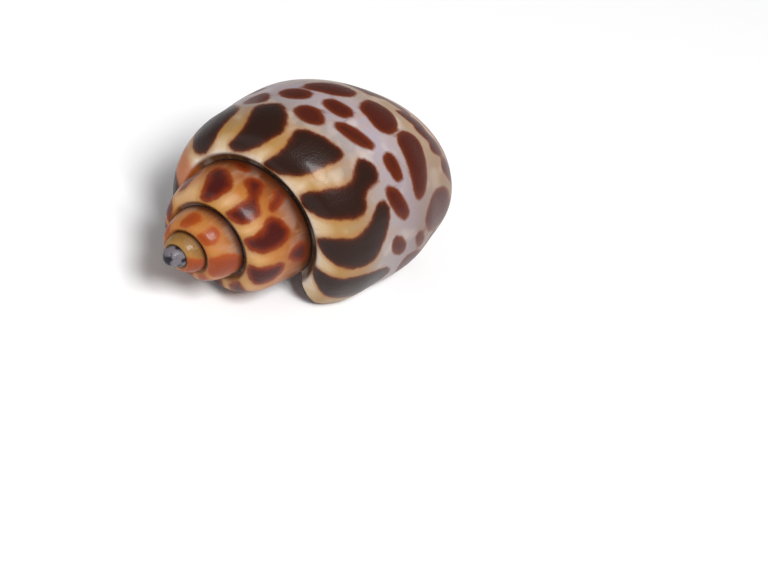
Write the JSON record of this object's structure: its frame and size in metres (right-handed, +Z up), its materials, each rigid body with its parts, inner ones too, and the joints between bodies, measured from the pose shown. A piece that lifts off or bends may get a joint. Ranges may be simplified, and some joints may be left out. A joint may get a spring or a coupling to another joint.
{
  "type": "spiral babylon sea snail shell",
  "caption": "Glossy spotted right-handed sea snail shell with a stepped spire, lying on its mouth, which a horny operculum closes.",
  "frame": {"origin": "on the table the shell lies on, below the middle of its bounding box", "axes": "+Z up, -X towards the tip of the spire, the outer lip on the table on the -Y side"},
  "size_m": [0.0496, 0.0294, 0.0256],
  "materials": {
    "shell": "glossy shell with rows of dark brown blotches on a cream to lilac ground, white enamel inside the mouth",
    "operculum": "semi-gloss dark red-brown horn with growth lines"
  },
  "bodies": {
    "root": {"shell": "shell", "operculum": "operculum"}
  },
  "joints": []
}
